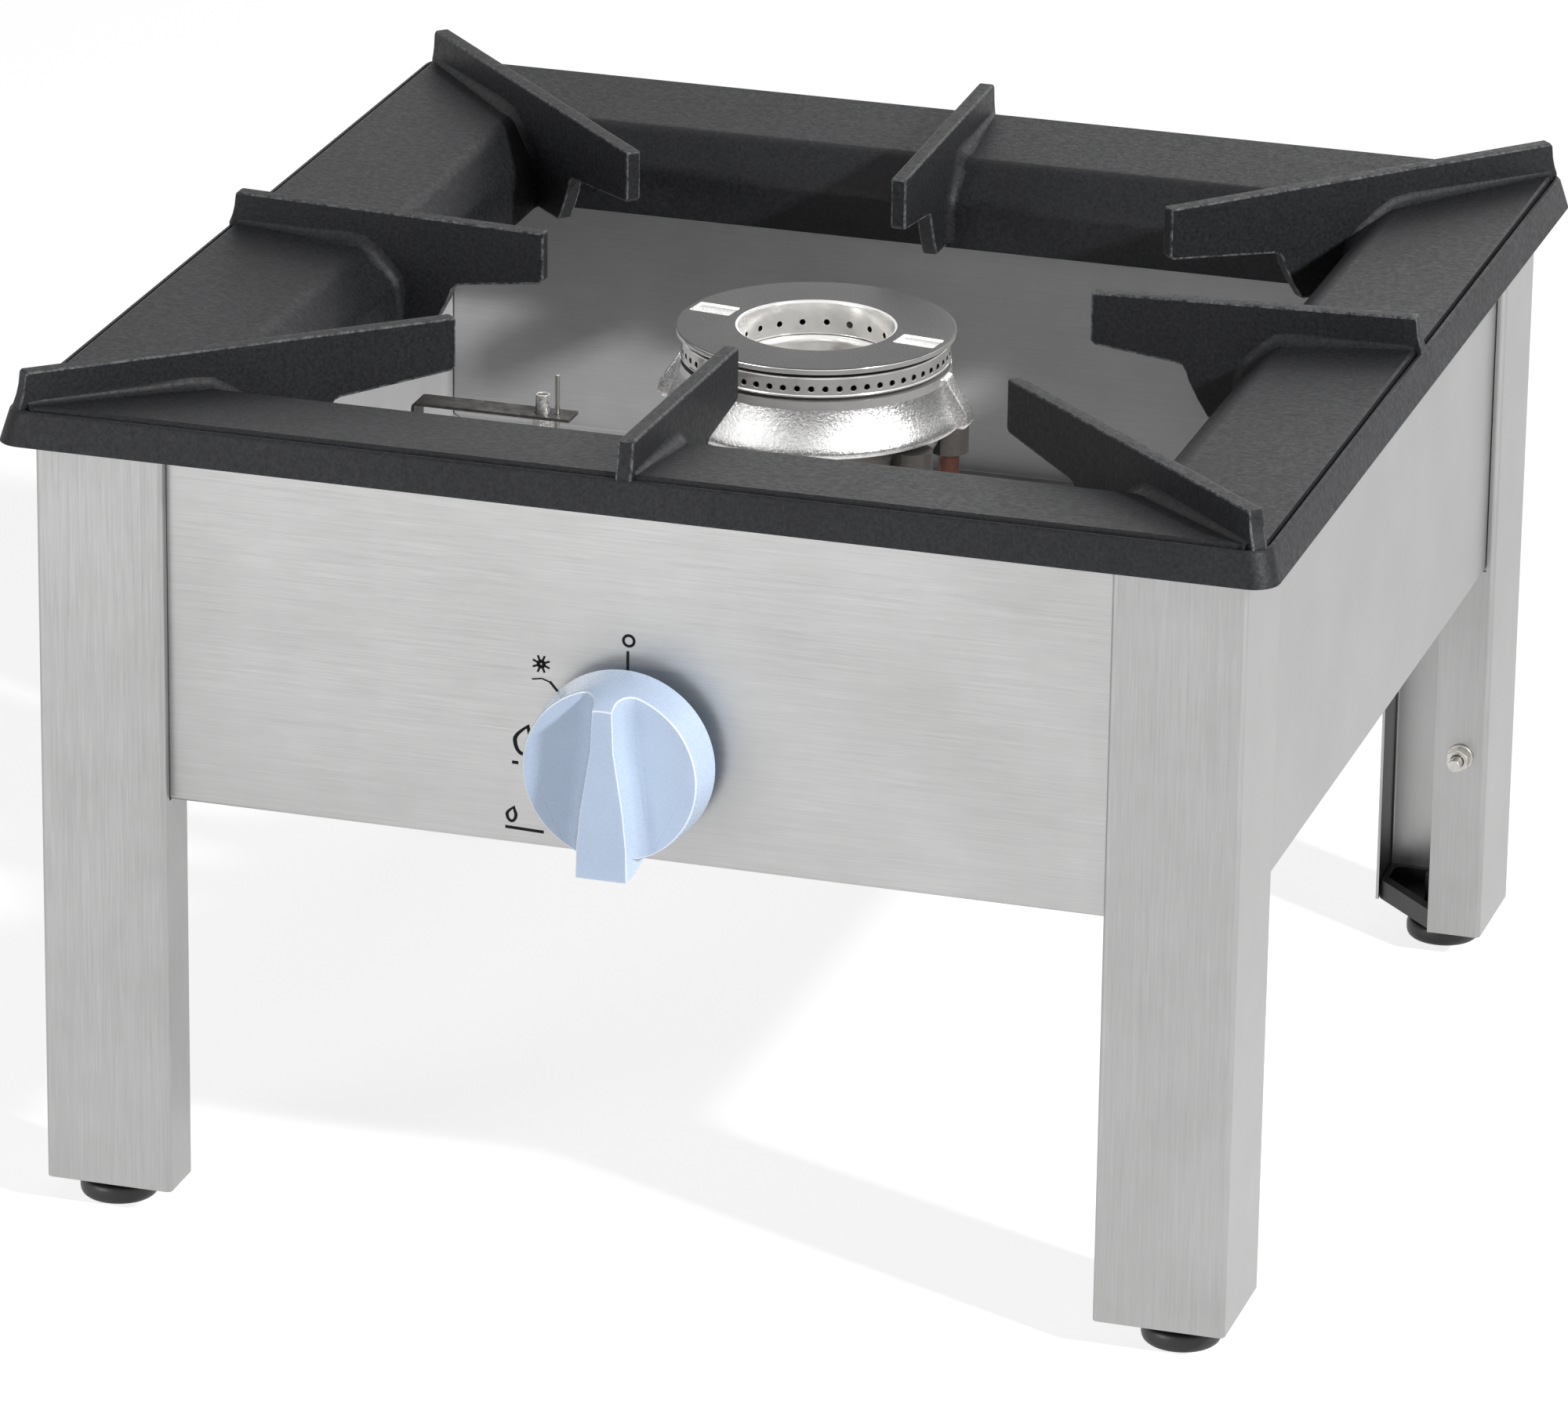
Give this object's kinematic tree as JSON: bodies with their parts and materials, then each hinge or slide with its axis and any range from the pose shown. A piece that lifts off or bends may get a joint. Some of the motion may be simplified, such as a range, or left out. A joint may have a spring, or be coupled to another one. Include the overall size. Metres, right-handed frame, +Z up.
{
  "type": "stock pot range",
  "caption": "Low free-standing gas stock pot range: a cast-iron pan grate over a ring burner in a stainless frame on folded legs, with a tap knob at the front.",
  "frame": {"origin": "on the floor, under the burner's axis, in the middle of the whole object", "axes": "+Z up, -Y out of the front panel with the knob, +X to the right as seen from the front"},
  "size_m": [0.58, 0.6266, 0.4],
  "materials": {
    "cast_iron": "sand-cast, matt black with greyer worn edges",
    "brushed_steel": "fine lengthwise brushing",
    "inner_steel": "plain mill finish",
    "nickel": "nickel plate over a sand-cast skin",
    "brass": "machined",
    "copper": "drawn copper, slightly dull",
    "zinc_steel": "bright zinc plate",
    "dark_steel": "heat-darkened strip steel",
    "black_plastic": "moulded, satin black",
    "blue_plastic": "pale steel-blue, glossy"
  },
  "bodies": {
    "root": {"leg_front_left": "brushed_steel", "leg_front_right": "brushed_steel", "leg_rear_left": "brushed_steel", "leg_rear_right": "brushed_steel", "front_panel": "brushed_steel", "rear_panel": "brushed_steel", "left_panel": "brushed_steel", "right_panel": "brushed_steel", "leg_plug_front_left": "black_plastic", "leg_plug_front_right": "black_plastic", "leg_plug_rear_left": "black_plastic", "leg_plug_rear_right": "black_plastic", "burner_body": "nickel", "mixing_tube": "nickel", "burner_rail_front": "inner_steel", "burner_rail_rear": "inner_steel", "burner_pillar_front_left": "copper", "burner_pillar_front_right": "copper", "burner_pillar_rear_left": "copper", "burner_pillar_rear_right": "copper", "tap_body": "brass", "injector": "brass", "supply_pipe": "copper", "gas_inlet": "brass", "inlet_nut": "zinc_steel", "pilot_bracket": "dark_steel", "pilot_burner": "nickel", "pilot_tube": "copper", "thermocouple": "zinc_steel", "thermocouple_lead": "copper", "earth_bolt": "zinc_steel", "earth_washer": "zinc_steel", "earth_nut": "zinc_steel"},
    "pan_grate": {"grate": "cast_iron"},
    "cap": {"burner_cap": "nickel"},
    "tap_rotor": {"tap_plug": "brass"},
    "tap_knob": {"knob": "blue_plastic", "spindle": "zinc_steel"},
    "front_left_foot": {"foot_front_left": "black_plastic", "foot_stud_front_left": "zinc_steel"},
    "front_right_foot": {"foot_front_right": "black_plastic", "foot_stud_front_right": "zinc_steel"},
    "rear_left_foot": {"foot_rear_left": "black_plastic", "foot_stud_rear_left": "zinc_steel"},
    "rear_right_foot": {"foot_rear_right": "black_plastic", "foot_stud_rear_right": "zinc_steel"}
  },
  "joints": [
    {"name": "grate_lift", "type": "slide", "parent": "root", "child": "pan_grate", "axis": [0, 0, 1], "range_m": [0, 0.08]},
    {"name": "cap_lift", "type": "slide", "parent": "root", "child": "cap", "axis": [0, 0, 1], "range_m": [0, 0.03]},
    {"name": "tap_turn", "type": "hinge", "parent": "root", "child": "tap_rotor", "pos_m": [0, -0.271, 0.253], "axis": [0, -1, 0], "range_deg": [0, 135]},
    {"name": "knob_press", "type": "slide", "parent": "tap_rotor", "child": "tap_knob", "axis": [0, 1, 0], "range_m": [0, 0.004], "stiffness_N_per_m": 800},
    {"name": "foot_front_left_screw", "type": "slide", "parent": "root", "child": "front_left_foot", "axis": [0, 0, 1], "range_m": [-0.012, 0]},
    {"name": "foot_front_right_screw", "type": "slide", "parent": "root", "child": "front_right_foot", "axis": [0, 0, 1], "range_m": [-0.012, 0]},
    {"name": "foot_rear_left_screw", "type": "slide", "parent": "root", "child": "rear_left_foot", "axis": [0, 0, 1], "range_m": [-0.012, 0]},
    {"name": "foot_rear_right_screw", "type": "slide", "parent": "root", "child": "rear_right_foot", "axis": [0, 0, 1], "range_m": [-0.012, 0]}
  ]
}
